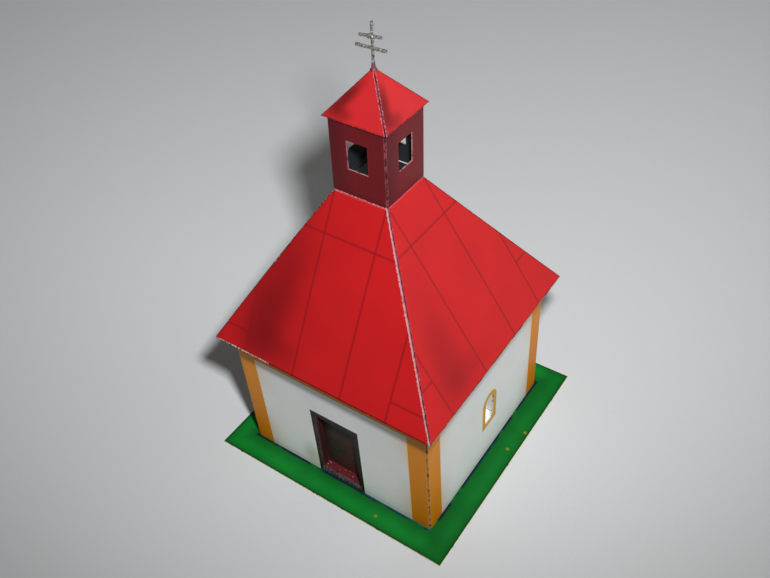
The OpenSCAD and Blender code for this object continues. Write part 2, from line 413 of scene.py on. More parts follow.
def splitLine(a, b, step):
    # points from a up to, but not including, b
    count = max(1, round((b - a).length / step))
    return [a.lerp(b, i / count) for i in range(count)]


def archLine(x0, x1, s0, s1, step):
    # outline of an arched opening: sill, sides and half-round head
    radius = (x1 - x0) / 2
    spring = s1 - radius
    middle = (x0 + x1) / 2
    corners = [Vector((x0, s0)), Vector((x1, s0)), Vector((x1, spring))]
    points = splitLine(corners[0], corners[1], step) + splitLine(corners[1], corners[2], step)
    count = max(8, round(math.pi * radius / step))
    for i in range(count):
        angle = math.pi * i / count
        points.append(Vector((middle + radius * math.cos(angle), spring + radius * math.sin(angle))))
    return points + splitLine(Vector((x0, spring)), corners[0], step)


def boxLine(x0, x1, s0, s1, step):
    corners = [Vector((x0, s0)), Vector((x1, s0)), Vector((x1, s1)), Vector((x0, s1))]
    points = []
    for i in range(4):
        points += splitLine(corners[i], corners[(i + 1) % 4], step)
    return points


def distanceTo(point, loop):
    best = farOff
    for i, a in enumerate(loop):
        b = loop[(i + 1) % len(loop)]
        along = b - a
        share = max(0.0, min(1.0, (point - a).dot(along) / max(along.length_squared, 1e-9)))
        best = min(best, (point - a - along * share).length)
    return best


def insideLoop(point, loop):
    hit = False
    for i, a in enumerate(loop):
        b = loop[i - 1]
        if (a.y > point.y) != (b.y > point.y):
            if point.x < (b.x - a.x) * (point.y - a.y) / (b.y - a.y) + a.x:
                hit = not hit
    return hit


def makeSheet(name, nodes, turn, shape, holes, materials, bow=0.0):
    # One card sheet: outer print, plain back and cut edges, with rounded folds. shape holds the
    # half widths at the foot and head, the foot's height, the slope, the length up the slope, the
    # angle that the card turns by at half a fold, and the spacing of points inside the sheet. Its
    # own thickness, gap, raggedness and edge step are optional. A glued edge is cut square.
    low, high, lowZ, pitch, length = (shape[k] for k in ("low", "high", "lowZ", "pitch", "length"))
    half = shape["halfTurn"]
    glued = {left: shape["seam"] and turn == right, right: shape["seam"] and turn == front}
    radius, step, cell = sheetSet["foldRadius"], shape.get("step", sheetSet["fineStep"]), shape["cell"]
    zone = radius * math.tan(half)          # width of the rounded strip beside a fold
    cardThick = shape.get("thick", thick)
    inner = cardThick * math.tan(half)      # where the back of the card turns
    tilt = math.atan2(low - high, length)
    seamGap = shape.get("gap", sheetSet["seamGap"])
    setBack = (inner + seamGap) / math.cos(tilt)
    lowLeft = Vector((-low + (setBack if glued[left] else 0), 0))
    lowRight = Vector((low - (setBack if glued[right] else 0), 0))
    highRight = Vector((high - (setBack if glued[right] else 0), length))
    highLeft = Vector((-high + (setBack if glued[left] else 0), length))
    inward = {left: Vector((math.cos(tilt), -math.sin(tilt))),
              right: Vector((-math.cos(tilt), -math.sin(tilt)))}
    foot = {left: Vector((-low, 0)), right: Vector((low, 0))}
    seed = turn + 4 * len(name)

    def edgeGap(side, point):
        return (point - foot[side]).dot(inward[side])

    def frayed(points, direction):
        shift = shape.get("ragged", sheetSet["ragged"])
        return [points[0]] + [p + direction * shift * wander(p.x, p.y, seed) for p in points[1:]]

    outline = frayed(splitLine(lowLeft, lowRight, step), Vector((0, 1)))
    rightEdge = splitLine(lowRight, highRight, step)
    outline += frayed(rightEdge, inward[right]) if glued[right] else rightEdge
    outline += frayed(splitLine(highRight, highLeft, step), Vector((0, 1)))
    leftEdge = splitLine(highLeft, lowLeft, step)
    outline += frayed(leftEdge, inward[left]) if glued[left] else leftEdge
    loops = [outline]
    for hole in holes:
        loops.append([p + Vector((wander(p.x, p.y, seed), wander(p.y, p.x, seed + 1)))
                      * sheetSet["ragged"] * sheetSet["holeRagged"] for p in hole])
    points, edges = [], []
    for loop in loops:
        start = len(points)
        points += loop
        edges += [(start + i, start + (i + 1) % len(loop)) for i in range(len(loop))]
    # lines of points along each fold keep its round smooth
    for side in (left, right):
        if glued[side]:
            continue
        a, b = foot[side], Vector(((-high if side == left else high), length))
        for share in (1 / 3, 2 / 3, 1.0):
            line = splitLine(a, b, step * 2)[1:]
            points += [p + inward[side] * zone * share for p in line]
    edgeClear = zone + sheetSet["foldClear"] + inner
    holeClear = sheetSet["holeClear"]
    rows = max(2, round(length / cell))
    for j in range(1, rows):
        s = length * j / rows
        halfHere = low + (high - low) * s / length
        columns = max(2, round(2 * halfHere / cell))
        for i in range(1, columns):
            point = Vector((-halfHere + 2 * halfHere * i / columns, s))
            if min(edgeGap(left, point), edgeGap(right, point)) < edgeClear:
                continue
            if any(insideLoop(point, h) or distanceTo(point, h) < holeClear for h in loops[1:]):
                continue
            points.append(point)
    flat, _, faces, *_ = delaunay_2d_cdt(points, edges, [], 1, 1e-5)
    kept = []
    for face in faces:
        centre = (flat[face[0]] + flat[face[1]] + flat[face[2]]) / 3
        if any(insideLoop(centre, h) for h in loops[1:]):
            continue
        a, b, c = (flat[i] for i in face)
        area = (b - a).cross(c - a)
        if abs(area) < 1e-7:  # a sliver with no surface
            continue
        kept.append(tuple(face) if area > 0 else tuple(reversed(face)))
    up = Vector((0, math.cos(pitch), math.sin(pitch)))
    out = Vector((0, -math.sin(pitch), math.cos(pitch)))
    swing = Matrix.Rotation(turn * math.pi / 2, 3, "Z")
    used = sorted({i for face in kept for i in face})
    place = {i: k for k, i in enumerate(used)}
    outer, innerSide, uvs, folds, cuts, glues = [], [], [], [], [], []
    gapOf = {left: [], right: []}
    for i in used:
        point = flat[i].copy()
        gaps = {side: edgeGap(side, point) for side in (left, right)}
        for side in (left, right):
            gapOf[side].append(gaps[side])
        share = min(1.0, max(0.0, (point.x + low) / (2 * low)))
        rise = point.y / length
        lift = bow * math.sin(math.pi * share) * math.sin(math.pi * min(1.0, 0.2 + 0.8 * rise))
        outerPoint, innerPoint, sunk = point.copy(), point.copy(), 0.0
        for side in (left, right):
            gap = gaps[side]
            if glued[side] or gap >= zone:
                continue
            angle = half * (1 - gap / zone)
            outerPoint += inward[side] * (zone - radius * math.sin(angle) - gap)
            innerPoint += inward[side] * (inner + gap * (zone - inner) / zone - gap)
            sunk = radius * (1 - math.cos(angle))
        outer.append(Vector((outerPoint.x, -low, lowZ)) + up * outerPoint.y + out * (lift - sunk))
        behind = lift - cardThick
        innerSide.append(Vector((innerPoint.x, -low, lowZ)) + up * innerPoint.y + out * behind)
        uvs.append((point.x, point.y))
        foldSides = [gaps[side] for side in (left, right) if not glued[side]]
        folds.append(max(0.0, min(foldSides)) if foldSides else farOff)
        near = [point.y, length - point.y] + [distanceTo(point, h) for h in loops[1:]]
        cuts.append(max(0.0, min(near)))
        glueSides = [gaps[side] - inner - seamGap for side in (left, right) if glued[side]]
        glues.append(max(0.0, min(glueSides)) if glueSides else farOff)
    count = len(used)
    polygons = [tuple(place[i] for i in face) for face in kept]
    kinds = [0] * len(polygons)
    directed = {(f[i], f[(i + 1) % 3]) for f in polygons for i in range(3)}
    rim = [(a, b) for a, b in directed if (b, a) not in directed]
    polygons += [tuple(count + i for i in reversed(f)) for f in polygons]
    kinds += [1] * len(kinds)
    polygons += [(a, a + count, b + count, b) for a, b in sorted(rim)]
    # the cut edge at the glued corner may have a finish of its own
    seamEnd = setBack + sheetSet["seamReach"]
    seamSide = [any(glued[side] and gapOf[side][a] < seamEnd for side in (left, right))
                for a, b in sorted(rim)]
    kinds += [3 if atSeam and len(materials) > 3 else 2 for atSeam in seamSide]
    mesh = bpy.data.meshes.new(name)
    mesh.from_pydata([settled(swing @ p) * mm for p in outer + innerSide], [], polygons)
    for material in materials:
        mesh.materials.append(material)
    mesh.polygons.foreach_set("material_index", kinds)
    printMap = mesh.uv_layers.new(name="print")
    for loop in mesh.loops:
        printMap.data[loop.index].uv = uvs[loop.vertex_index % count]
    for label, values in (("fold", folds), ("cut", cuts), ("glue", glues)):
        attribute = mesh.attributes.new(label, "FLOAT", "POINT")
        attribute.data.foreach_set("value", values + values)
    mesh.shade_smooth()
    mesh.set_sharp_from_angle(angle=math.radians(sheetSet["sharpAngle"]))
    mesh.validate()
    addPiece(name, mesh, nodes)


# card finishes that several pieces share
darkDepth = 14.0  # how far below the belfry the inside of the roof is near black
plainInside = plainCard("unprintedCardBack", bareCard)
plainStrip = plainCard("unprintedCardStrip", "e6e6e2")
# the foot flaps have a painted glow, for light that comes through the thin walls
flapPaintedGlow = plainCard("unprintedCardFlapPaintedGlow", "eaeae8", glow=0.4)
darkInside = plainCard("darkCardBack", insideDark, 0.1)
ochreStrip = plainCard("ochreInkedCardStrip", "7a5228", 0.3)
redStrip = plainCard("redInkedCardStrip", "7c2830", 0.3)
# the strip in the roof's glued hip: pale red card, lightened further as painted light against the shade
# in the gap
hipStripPaintedLight = plainCard("paleRedCardStripPaintedLight", "cc7c86", 0.3)
wallRim = cutEdge("tornCardEdge", "d8cec8", "6a4a48", 0.2)
ochreRim = cutEdge("ochreInkedCardEdge", "d09a58", "5a3818", 0.35)
doorRim = cutEdge("brownInkedCardEdge", "5c4242", "2a1c1c", 0.4)
pinkRim = cutEdge("tornRedCardEdge", "c08a90", "74262e", 0.3)
darkRim = cutEdge("inkedCardEdge", "a88a80", "2a1414", 0.9)
# the front roof's cut edge at the glued hip: bare pale card, lightened further as painted light against
# the shade in the gap
paleSeamRimPaintedLight = cutEdge("paleCardEdgePaintedLight", "e4b4ba", "b86a74", 0.25)
redSeamRim = cutEdge("gluedRedCardEdge", "a04e5a", "5c1c26", 0.5)
roofInside = plainCard("unprintedRoofBack", bareCard, darkFrom=belfryLow.z - darkDepth)
# the inside of the walls has a painted glow, for light that comes through the thin card
wallBackPaintedGlow = plainCard("unprintedWallBackPaintedGlow", bareCard, glow=0.2)


# the green card that everything stands on
baseSet = {
    "ground": "107629",
    "deep": "0d4a1c",        # the green is darker close to the walls
    "deepReach": 4.5,
    "ink": "0c1730",         # pen line along the foot of the walls
    "edgeInk": "08180c",
    "teal": "28626c",        # bare strip between the two strokes of the pen line
    "specks": ((13.1, -29.8), (31.6, 9.9), (30.2, 3.3)),
    "speckInk": "8a7a2c",
    "cell": 3.2,
}


def basePrint():
    # Green satin print on white card, bare inside the walls, with a pen line round their foot.
    material, tree, place = newMaterial("greenPrintedCard")
    inMm = addNode(tree, vectorKind, {0: place, "Scale": 1 / mm}, operation="SCALE")
    split = addNode(tree, "ShaderNodeSeparateXYZ", {0: inMm}).node
    spread = [addNode(tree, mathKind, {0: split.outputs[i]}, operation="ABSOLUTE") for i in (0, 1)]
    away = addNode(tree, mathKind, {0: spread[0], 1: spread[1]}, operation="MAXIMUM")
    away = addNode(tree, mathKind, {0: away, 1: naveHalf}, operation="SUBTRACT")
    colour = inkOver(tree, linearColour(baseSet["ground"]), baseSet["deep"], away,
                     (0.0, baseSet["deepReach"]), (0.75, 0.0), **smoothly)
    rim = addNode(tree, mathKind, {0: baseHigh.x - naveHalf, 1: away}, operation="SUBTRACT")
    for reach, ink, amount in ((2.2, baseSet["deep"], 0.45), (0.62, baseSet["edgeInk"], 0.95)):
        colour = inkOver(tree, colour, ink, rim, (0.0, reach), (amount, 0.0), **smoothly)
    # the strip outside the right wall is printed a little darker
    colour = inkOver(tree, colour, baseSet["deep"], split.outputs[0], (naveHalf - 0.5, naveHalf + 2.0),
                     (0.0, 0.42))
    fine = addNode(tree, noiseKind, lumps(place, inkDot, 2.0))
    clouds = addNode(tree, noiseKind, lumps(place, 7.0, 3.0))
    colour = mottled(tree, colour, clouds, noiseSpan, (0.88, 1.12))
    # the pen line wavers and is missing here and there
    waver = addNode(tree, noiseKind, lumps(place, 5.0, 3.0))
    waver = addNode(tree, mathKind, {0: waver, 1: 0.3}, operation="MULTIPLY")
    offLine = distanceFrom(tree, away, waver)
    line = addNode(tree, rangeKind, {"Value": offLine, "From Min": 0.38, "From Max": 0.52, "To Min": 0.92,
                                     "To Max": 0.0})
    gaps = addNode(tree, noiseKind, lumps(place, 6.0, 2.0))
    gaps = addNode(tree, rangeKind, {"Value": gaps, "From Min": 0.36, "From Max": 0.42})
    line = addNode(tree, mathKind, {0: line, 1: gaps}, operation="MULTIPLY")
    colour = addNode(tree, mixKind, {0: line, 6: colour, 7: linearColour(baseSet["ink"])}, **ofColours)
    # right of the door the pen went round twice, and left a paler strip between its strokes
    between = addNode(tree, rangeKind, {"Value": offLine, "From Min": 0.05, "From Max": 0.13,
                                        "To Min": 0.9, "To Max": 0.0})
    for axis, start, end in ((0, 6.0, 9.0), (1, -naveHalf + 0.4, -naveHalf)):
        part = addNode(tree, rangeKind, {"Value": split.outputs[axis], "From Min": start,
                                         "From Max": end})
        between = addNode(tree, mathKind, {0: between, 1: part}, operation="MULTIPLY")
    teal = linearColour(baseSet["teal"])
    colour = addNode(tree, mixKind, {0: between, 6: colour, 7: teal}, **ofColours)
    for speckX, speckY in baseSet["specks"]:
        far = addNode(tree, vectorKind, {0: inMm, 1: (speckX, speckY, floorZ)}, out="Value",
                      operation="DISTANCE")
        far = addNode(tree, mathKind, {0: fine, 1: 0.9, 2: far}, operation="MULTIPLY_ADD")
        colour = inkOver(tree, colour, baseSet["speckInk"], far, (0.75, 0.95), (0.8, 0.0))
    # bare card inside the walls, with a painted shadow line just past the end of each glued flap
    flapEnd = boxOf("right_foot_tab")[1].y
    flapEndShadow = distanceFrom(tree, spread[1], flapEnd + 0.2)
    floorTone = inkOver(tree, linearColour(bareCard), "4a4a4a", flapEndShadow, (0.12, 0.22), (1.0, 0.0))
    bare = addNode(tree, rangeKind, {"Value": away, "From Min": -0.5, "From Max": -0.4,
                                     "To Min": 1.0, "To Max": 0.0})
    colour = addNode(tree, mixKind, {0: bare, 6: colour, 7: floorTone}, **ofColours)
    hollows = addNode(tree, noiseKind, lumps(place, hollowSize, 1.0))
    height = addNode(tree, mathKind, {0: fine, 1: 0.02, 2: hollows}, operation="MULTIPLY_ADD")
    # the bare card inside the walls has a painted glow, for light that comes through the thin walls
    inside = addNode(tree, vectorKind, {0: floorTone, "Scale": bare}, operation="SCALE")
    closeMaterial(tree, colour, 0.5, height, 0.15 * mm, specular=0.07, glow=0.3, glowColour=inside)
    return material


baseRim = cutEdge("greenInkedCardEdge", "d6d89c", "26341c", 0.12)
baseShape = {"low": baseHigh.x, "high": baseHigh.x, "lowZ": floorZ, "pitch": 0.0,
             "length": 2 * baseHigh.x, "halfTurn": 1e-4, "seam": False, "cell": baseSet["cell"],
             "thick": baseHigh.z}
makeSheet("greenBaseCard", ["base_card"], front, baseShape, [], [basePrint(), plainInside, baseRim])
print("base card made")


# the walls, one folded strip
wallSet = {
    "ground": "e3e7e5",
    "ochre": "d98404",
    "ochreTop": "e8992c",
    "ochreFoot": "b66b02",
    "line": "e2c43a",        # thin yellow line along the pilaster's inner side
    "pilaster": 5.0,
    "cornice": 31.5,         # height of the painted band under the eaves
    "band": 1.35,            # painted frame round the arched window
    "bandInk": "d09c34",
    "doorInk": "241614",
    "doorTop": "1b1e30",
    "threshold": "44343b",
    "frame": (1.3, 1.15, 1.5),  # the painted door frame's width at the left, right and head
    "cell": 1.8,
    "mottle": 0.03,
    "specular": 0.18,
    "wear": (("fold", 0.45, "ecd898", 0.18), ("glue", 0.3, "dcac64", 0.22), ("cut", 0.2, "d8c8b8", 0.06)),
}


def wallLayers(turn, opening):
    w = wallSet
    wallTop = wallHigh.z - floorZ
    inner = naveHalf - w["pilaster"]
    pilaster = (inner, naveHalf + 1)
    layers = [
        printBox(*pilaster, -1, wallTop + 1, w["ochre"], both=True),
        printBox(*pilaster, wallTop * 0.55, wallTop + 9, w["ochreTop"], 0.6, both=True, soft=14),
        printBox(*pilaster, -9, wallTop * 0.3, w["ochreFoot"], 0.7, both=True, soft=14),
        printBox(inner - 0.12, inner + 0.06, -1, wallTop, w["line"], 0.6, both=True),
        printBox(-naveHalf, naveHalf, w["cornice"], wallTop + 1, w["ochre"]),
        printBox(-naveHalf, naveHalf, w["cornice"] - 0.2, w["cornice"], w["line"], 0.5),
        # painted shade: a soft grey band just above the foot of the wall
        printBox(-inner, inner, 0.6, 1.4, "9fa9ac", 0.3, soft=1.6),
    ]
    if turn == front:
        x0, x1, s0, s1 = opening
        wide, wideRight, head = w["frame"]
        sill = (x0 - 0.4, x1 + 0.2)
        layers += [
            printBlob((x0 - 3.2, 4.5), (4.5, 7.5), 0, "a9b48c", 0.55),
            printBox(x0 - wide, x1 + wideRight, -1, s1 + head, w["doorInk"]),
            printBox(x0 - wide, x1 + wideRight, s1 + head * 0.6, s1 + head, w["doorTop"], 0.85),
            printBox(x0 - wide * 0.5, x0 - 0.1, s0, s1 - 1, "6a5248", 0.5, patchy=1.2),
            printBox(*sill, -1, s0, w["threshold"]),
            printBox(*sill, s0 * 0.4, s0, "9a888e", 0.4, soft=0.5, patchy=0.7),
        ]
    elif turn in (right, left):
        layers += [
            printArch(opening, w["band"] + 0.16, w["line"], 0.6),
            printArch(opening, w["band"], w["bandInk"]),
        ]
    return layers


wallShape = {"low": naveHalf, "high": naveHalf, "lowZ": floorZ, "pitch": math.pi / 2,
             "length": wallHigh.z - floorZ, "halfTurn": math.pi / 4, "seam": True, "gap": 0.05,
             "ragged": 0.03, "cell": wallSet["cell"]}
for turn, side in enumerate(sideNames):
    node = side + "_wall"
    opening, holes = None, []
    if turn != back:
        x0, x1, z0, z1 = openingOf(node, turn)
        opening = (x0, x1, z0 - floorZ, z1 - floorZ)
        holes = [(boxLine if turn == front else archLine)(*opening, sheetSet["fineStep"])]
    wallPrint = printedCard(f"{side}WallPrintedCard", wallSet, wallLayers(turn, opening), wallSet["wear"])
    makeSheet(f"{side}WallCard", [node], turn, wallShape, holes,
              [wallPrint, wallBackPaintedGlow, doorRim if turn == front else wallRim, ochreRim])
# the foot flaps inside the walls take the painted glow
for side in sideNames:
    paint(f"{side}_foot_tab", flapPaintedGlow)
paint("wall_seam_tab", ochreStrip)
print("nave walls made")


# the door's shallow box
doorSet = {
    "leaf": "2a2424",
    "leafRed": "4c2223",
    "leafDark": "28201d",
    "jamb": "381a1b",
    "jambStripe": "5c443c",
    "sill": "561a1e",
    "sillFleck": "d8b8bc",
    "stripe": 0.9,           # width of the stripes printed on the jamb
}


def doorPrint(name, groundHex, markHex, size, axis, amount, fleck=None):
    # Dark satin print with soft stripes along one direction, like painted boards.
    material, tree, place = newMaterial(name)
    stretched = addNode(tree, "ShaderNodeMapping", {"Vector": place, "Scale": axis})
    stripes = addNode(tree, noiseKind, {"Vector": stretched, "Scale": 1 / (size * mm), "Detail": 1.0})
    colour = inkOver(tree, linearColour(groundHex), markHex, stripes, (0.45, 0.6), (0.0, amount))
    fine = addNode(tree, noiseKind, lumps(place, 0.5, 3.0))
    if fleck:
        colour = inkOver(tree, colour, fleck, fine, (0.66, 0.72))
    closeMaterial(tree, colour, 0.5, fine, 0.01 * mm, specular=0.25)
    return material


paint("door_leaf", doorPrint("leafPrintedCard", doorSet["leafDark"], doorSet["leafRed"], 8.0,
                             (1, 1, 1), 0.6))
jambPrint = doorPrint("jambPrintedCard", doorSet["jamb"], doorSet["jambStripe"], doorSet["stripe"],
                      (1, 1, 0.04), 0.6)
paint("door_left_jamb", jambPrint)
paint("door_right_jamb", jambPrint)
paint("door_lintel", doorPrint("lintelPrintedCard", doorSet["leaf"], doorSet["leafRed"], 3.0,
                               (1, 1, 1), 0.5))
paint("door_sill", doorPrint("sillPrintedCard", doorSet["sill"], "5a1a20", 1.5, (1, 1, 1), 0.6,
                             doorSet["sillFleck"]))
print("door made")


# the four slopes of the nave roof
roofSet = {
    "ground": "c61b1e",
    "seamInk": "8c141a",
    "seamW": 0.5,
    "seamSoft": 0.35,
    "innerSeam": 6.35,       # distance of the two middle seams from the slope's middle
    "outerSeam": (19.9, 17.9),
    # height of the cross seams: below the top on the three middle sheets, over the eave outside
    "cross": {front: (9.7, 4.8, 4.9), right: (9.2, 9.2, 11.9), back: (9.7, 4.8, 4.9),
              left: (9.2, 9.2, 11.9)},
    "shade": "5e0c14",
    # soft dark streaks beside the left fold: centre, reach, tilt and strength, on the front and
    # back and then, fainter, on the right and left
    "streaks": ((((-15.0, 16.0), (9.5, 27.0), -14, 0.5), ((-16.0, 9.0), (8.5, 14.0), -14, 0.4),
                 ((-14.0, 4.0), (13.0, 6.5), 0, 0.4)),
                (((-13.0, 15.0), (7.5, 24.0), -14, 0.22), ((-14.5, 9.0), (7.0, 12.0), -14, 0.2),
                 ((-12.0, 4.5), (12.0, 6.0), 0, 0.28))),
    "scuff": 0.55,
    "cell": 1.8,
    "bow": 0.15,             # how far the middle of a slope bulges
    "mottle": 0.07,
    "specular": 0.21,
}
roofLength = (eaveHalf - (belfryHalf - thick)) / math.cos(roofPitch)
roofTurn = 0.5 * math.acos(math.cos(roofPitch) ** 2)


def roofLayers(turn):
    r = roofSet
    top, leftCross, rightCross = r["cross"][turn]
    outLeft, outRight = r["outerSeam"]
    w, soft = r["seamW"] / 2, r["seamSoft"]
    far = eaveHalf + 5
    bars = [(-outLeft - w, -outLeft + w, -1, roofLength), (outRight - w, outRight + w, -1, roofLength),
            (-far, -outLeft, leftCross - w, leftCross + w),
            (outRight, far, rightCross - w, rightCross + w),
            (-far, far, roofLength - top - w, roofLength - top + w)]
    bars += [(side * r["innerSeam"] - w, side * r["innerSeam"] + w, -1, roofLength + 1)
             for side in (-1, 1)]
    layers = [printBlob(centre, reach, tilt, r["shade"], amount)
              for centre, reach, tilt, amount in r["streaks"][turn % 2]]
    if turn in (front, back):
        layers.append(printBox(-far, -6, -1, roofLength + 1, "8c1216", 0.3, soft=26))
    layers += [printBox(*bar, r["seamInk"], 0.66, soft=soft) for bar in bars]
    # the cut eaves: a dark broken line, with bare flecks on the front and an ochre stain elsewhere
    layers.append(printBox(-far, far, -1, 0.32, "3a080c", 0.7, soft=0.2))
    if turn == front:
        layers.append(printBox(-far, -13, -1, 0.26, "e6ccc8", 0.9, soft=0.14, patchy=0.45))
    else:
        layers.append(printBox(-far, far, -1, 0.16, "c0946a", 0.9, soft=0.1, patchy=2.5))
    # the print has scuffed away along the fold at the belfry's foot
    layers.append(printBox(-far, far, roofLength - r["scuff"], roofLength + 1, "cc98a6",
                           0.85 if turn in (front, left) else 0.3, soft=0.5, patchy=0.35))
    return layers


def roofWear(turn):
    # the front's glued edge is scraped pale, and the one that it meets is smeared
    edge, fringe = ("e8acb4", "e8a0a8") if turn == front else ("8a2c3a", "d87880")
    return (("fold", 0.6, "4a1812", 0.32), ("fold", 0.36, "e0c4bc", 0.16), ("glue", 0.34, edge, 0.36),
            ("glue", 0.8, fringe, 0.1), ("cut", 0.22, "e6b4b8", 0.04))


roofShape = {"low": eaveHalf, "high": belfryHalf - thick, "lowZ": eaveZ, "pitch": roofPitch,
             "length": roofLength, "halfTurn": roofTurn, "seam": True, "cell": roofSet["cell"]}
for turn, side in enumerate(sideNames):
    roofPrint = printedCard(f"{side}RoofPrintedCard", roofSet, roofLayers(turn), roofWear(turn))
    makeSheet(f"{side}RoofCard", [f"roof_{side}"], turn, roofShape, [],
              [roofPrint, roofInside, darkRim if turn else pinkRim,
               redSeamRim if turn else paleSeamRimPaintedLight], bow=roofSet["bow"])
    settledCopy(f"{side}RoofTabCard", f"roof_tab_{side}", darkInside,
                plainStrip if turn == back else None)
settledCopy("roofSeamStrip", "roof_seam_tab", hipStripPaintedLight)
print("nave roof made")


# the belfry's walls
belfrySet = {
    "ground": "73171e",
    "board": "4c1219",       # faint upright lines between printed boards
    "boardW": 1.65,
    "cell": 1.2,
    "step": 0.25,
    "mottle": 0.08,
    "specular": 0.28,
    "wear": (("fold", 0.22, "a87078", 0.06), ("glue", 0.24, "a87882", 0.2), ("cut", 0.22, "b87880", 0.1)),
}


def belfryLayers():
    b = belfrySet
    tall = belfryHigh.z - belfryLow.z
    layers = [printBox(-belfryHalf - 1, -belfryHalf + 3, -1, tall + 1, "3a0c12", 0.5, soft=5.0),
              # painted shade: each wall darkens at its foot, where it meets the roof
              printBox(-belfryHalf, belfryHalf, -1, 0.8, "4c1016", 0.5, soft=1.6)]
    count = int(belfryHalf / b["boardW"])
    for i in range(-count, count + 1):
        at = i * b["boardW"]
        layers.append(printBox(at - 0.06, at + 0.06, -1, tall + 1, b["board"], 0.4, soft=0.2))
    return layers


belfryShape = {"low": belfryHalf, "high": belfryHalf, "lowZ": belfryLow.z, "pitch": math.pi / 2,
               "length": belfryHigh.z - belfryLow.z, "halfTurn": math.pi / 4, "seam": True,
               "cell": belfrySet["cell"], "step": belfrySet["step"]}
belfryPrint = printedCard("belfryPrintedCard", belfrySet, belfryLayers(), belfrySet["wear"])
for turn, side in enumerate(sideNames):
    node = f"belfry_{side}"
    x0, x1, z0, z1 = openingOf(node, turn)
    hole = boxLine(x0, x1, z0 - belfryLow.z, z1 - belfryLow.z, belfrySet["step"])
    makeSheet(f"{side}BelfryCard", [node], turn, belfryShape, [hole],
              [belfryPrint, darkInside, pinkRim, redSeamRim])
settledCopy("belfrySeamStrip", "belfry_seam_tab", redStrip)
print("belfry made")


# the belfry's pointed roof
smallSet = {
    "ground": "cf282c",
    "shade": "5e0c14",
    "cell": 0.9,
    "step": 0.25,
    "mottle": 0.06,
    "specular": 0.28,
    "wear": (("fold", 0.5, "5a1c14", 0.32), ("fold", 0.3, "dcb0ae", 0.12), ("glue", 0.45, "dc98a2", 0.22),
             ("cut", 0.2, "e8b8bc", 0.07)),
}
smallLength = (smallEaveHalf - tipHalf) / math.cos(smallPitch)
smallTurn = 0.5 * math.acos(math.cos(smallPitch) ** 2)
smallShape = {"low": smallEaveHalf, "high": tipHalf, "lowZ": smallEaveZ, "pitch": smallPitch,
              "length": smallLength, "halfTurn": smallTurn, "seam": True, "cell": smallSet["cell"],
              "step": smallSet["step"], "gap": 0.01}
smallLayers = [
    printBlob((-3.6, 4.4), (2.5, 8.0), -33, smallSet["shade"], 0.8),
    printBlob((-3.4, 1.5), (4.2, 2.6), 0, smallSet["shade"], 0.55),
    printBox(-9, 9, -1, 0.24, "6c1828", 0.8, soft=0.16, patchy=1.2),
]
smallPrint = printedCard("belfryRoofPrintedCard", smallSet, smallLayers, smallSet["wear"])
for turn, side in enumerate(sideNames):
    makeSheet(f"{side}BelfryRoofCard", [f"belfry_roof_{side}"], turn, smallShape, [],
              [smallPrint, plainInside, pinkRim, redSeamRim])
settledCopy("belfryRoofSeamStrip", "belfry_roof_seam_tab", redStrip)
print("belfry roof made")


# the cross, foil round a wire
crossSet = {
    "foil": "cccdc8",
    "crease": 0.13,          # height of the foil's creases
    "creaseSize": 0.5,       # distance between them
    "bend": 0.06,            # how far the wire inside wanders
    "postWrap": 1.15,        # how much thicker than the bare rod the wrapped post is
    "barWrap": 1.35,
    "sides": 12,
    "spacing": 0.09,
    "seed": 7,
}


def foilMaterial():
    # Aluminium foil crumpled round a wire: bright patches next to nearly black ones, painted reflections
    # of its creases.
    material, tree, place = newMaterial("crumpledFoilPaintedReflections")
    creaseReliefAndGlints = addNode(tree, noiseKind, lumps(place, 0.3, 3.0, 0.6))
    # painted reflection: the creases darken and brighten the foil's own colour
    colour = mottled(tree, linearColour(crossSet["foil"])[:3], creaseReliefAndGlints, (0.35, 0.65), (0.1, 1.15))
    closeMaterial(tree, colour, 0.48, creaseReliefAndGlints, 0.05 * mm, metallic=0.65)
    return material


